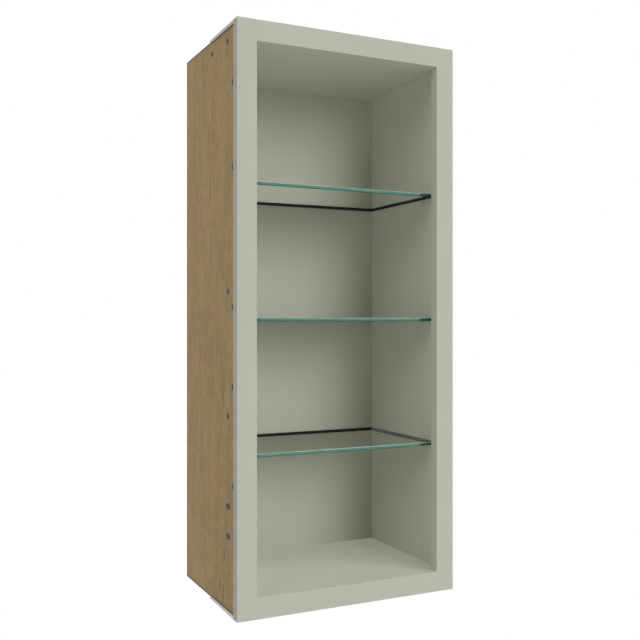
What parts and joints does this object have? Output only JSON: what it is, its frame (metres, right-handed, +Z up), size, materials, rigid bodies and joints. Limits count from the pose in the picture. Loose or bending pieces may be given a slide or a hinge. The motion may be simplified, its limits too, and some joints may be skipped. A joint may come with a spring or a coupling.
{
  "type": "wall cabinet",
  "caption": "Open wall cabinet with a painted face frame and interior, wood-grained sides and clear glass shelves that lift off pins.",
  "frame": {"origin": "middle of the width and depth, on the plane of the bottom ends", "axes": "+Z up, -Y out of the open front, +Y to the wall, +X to the right as seen from the front"},
  "size_m": [0.4572, 0.3048, 1.0668],
  "materials": {
    "frame_paint": "satin sage paint",
    "panel_paint": "satin sage paint inside, bare outside",
    "side_wood": "clear satin on upright grain, painted inside",
    "bare_wood": "unfinished",
    "black_screw": "black oxide",
    "dark_plug": "matt",
    "zinc_screw": "bright zinc",
    "clear_pin": "clear",
    "clear_cushion": "clear silicone",
    "shelf_glass": "clear float glass with polished edges"
  },
  "bodies": {
    "cabinet": {"left_stile": "frame_paint", "right_stile": "frame_paint", "top_rail": "frame_paint", "bottom_rail": "frame_paint", "frame_dowels": "bare_wood", "left_side_panel": "side_wood", "right_side_panel": "side_wood", "top_panel": "panel_paint", "bottom_panel": "panel_paint", "back_panel": "panel_paint", "upper_hanging_rail": "bare_wood", "lower_hanging_rail": "bare_wood", "upper_glue_blocks": "bare_wood", "lower_glue_blocks": "bare_wood", "upper_edge_strips": "frame_paint", "lower_edge_strips": "frame_paint", "left_deck_screws": "black_screw", "right_deck_screws": "black_screw", "left_side_plugs": "dark_plug", "right_side_plugs": "dark_plug", "upper_rail_screws": "zinc_screw", "lower_rail_screws": "zinc_screw", "upper_shelf_pins": "clear_pin", "middle_shelf_pins": "clear_pin", "lower_shelf_pins": "clear_pin", "upper_shelf_cushions": "clear_cushion", "middle_shelf_cushions": "clear_cushion", "lower_shelf_cushions": "clear_cushion"},
    "upper_shelf": {"upper_glass_shelf": "shelf_glass"},
    "middle_shelf": {"middle_glass_shelf": "shelf_glass"},
    "lower_shelf": {"lower_glass_shelf": "shelf_glass"}
  },
  "joints": [
    {"name": "upper_shelf_lift", "type": "slide", "parent": "cabinet", "child": "upper_shelf", "axis": [0, 0, 1], "range_m": [0, 0.23]},
    {"name": "middle_shelf_lift", "type": "slide", "parent": "cabinet", "child": "middle_shelf", "axis": [0, 0, 1], "range_m": [0, 0.23]},
    {"name": "lower_shelf_lift", "type": "slide", "parent": "cabinet", "child": "lower_shelf", "axis": [0, 0, 1], "range_m": [0, 0.23]}
  ]
}
